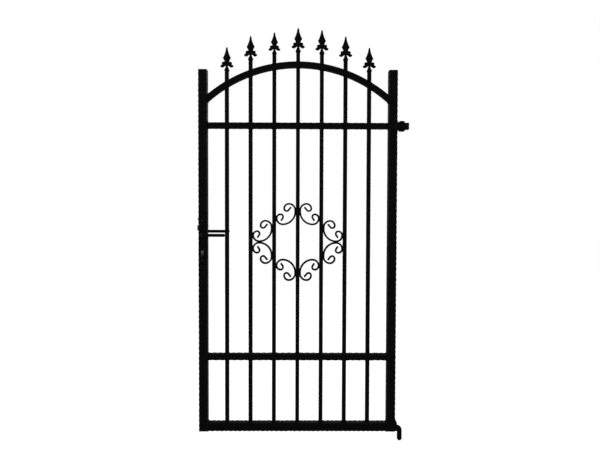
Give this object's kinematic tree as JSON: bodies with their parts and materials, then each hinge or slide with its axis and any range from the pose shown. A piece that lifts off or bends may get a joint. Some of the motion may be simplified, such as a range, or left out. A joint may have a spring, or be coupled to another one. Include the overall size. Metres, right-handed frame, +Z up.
{
  "type": "metal garden gate leaf",
  "caption": "Black steel gate leaf with an arched head, upright bars with spear heads, a scroll ornament, lever lock and pin hinge.",
  "frame": {"origin": "middle of the flat face of the upper hinge bracket, where it meets the gate post", "axes": "+X out of that face, from the leaf towards the post; -Y is the front; +Z up"},
  "size_m": [1.0298, 0.1736, 2.017],
  "materials": {
    "black_paint": "satin black paint over hammered steel",
    "black_fittings": "smooth satin black coating",
    "bare_steel": "bare brushed steel",
    "brass": "dull brass"
  },
  "bodies": {
    "post_hinge": {"post_bracket": "black_paint"},
    "leaf": {"hinge_fork": "black_paint", "hinge_pin": "bare_steel", "pivot_lug": "black_paint", "pivot_rod": "black_paint", "lock_stile": "black_paint", "hinge_stile": "black_paint", "lock_stile_cap": "black_paint", "hinge_stile_cap": "black_paint", "bottom_rail": "black_paint", "lower_rail": "black_paint", "upper_rail": "black_paint", "arch_rail": "black_paint", "bar_1": "black_paint", "bar_2": "black_paint", "bar_3": "black_paint", "bar_4": "black_paint", "bar_5": "black_paint", "bar_6": "black_paint", "bar_7": "black_paint", "spear_1": "black_paint", "spear_2": "black_paint", "spear_3": "black_paint", "spear_4": "black_paint", "spear_5": "black_paint", "spear_6": "black_paint", "spear_7": "black_paint", "scroll_top_left": "black_paint", "scroll_top_right": "black_paint", "scroll_bottom_left": "black_paint", "scroll_bottom_right": "black_paint", "scroll_left_upper": "black_paint", "scroll_left_lower": "black_paint", "scroll_right_upper": "black_paint", "scroll_right_lower": "black_paint", "lock_case": "bare_steel", "lock_forend": "black_fittings", "key_cylinder": "brass", "front_lock_plate": "black_fittings", "back_lock_plate": "black_fittings"},
    "lever": {"front_lever": "black_fittings", "back_lever": "black_fittings", "lever_spindle": "bare_steel"},
    "latch": {"latch_bolt": "bare_steel"}
  },
  "joints": [
    {"name": "leaf_swing", "type": "hinge", "parent": "post_hinge", "child": "leaf", "pos_m": [-0.033, 0, 0], "axis": [0, 0, -1], "range_deg": [0, 95]},
    {"name": "lever_turn", "type": "hinge", "parent": "leaf", "child": "lever", "pos_m": [-0.9986, 0, -0.523], "axis": [0, 1, 0], "range_deg": [0, 40], "stiffness_Nm_per_rad": 1.5, "springref_deg": -20.05},
    {"name": "latch_slide", "type": "slide", "parent": "leaf", "child": "latch", "axis": [1, 0, 0], "range_m": [0, 0.009]}
  ],
  "couplings": [
    {"joint": "latch_slide", "follows": "lever_turn", "m_per_rad": 0.012885}
  ]
}
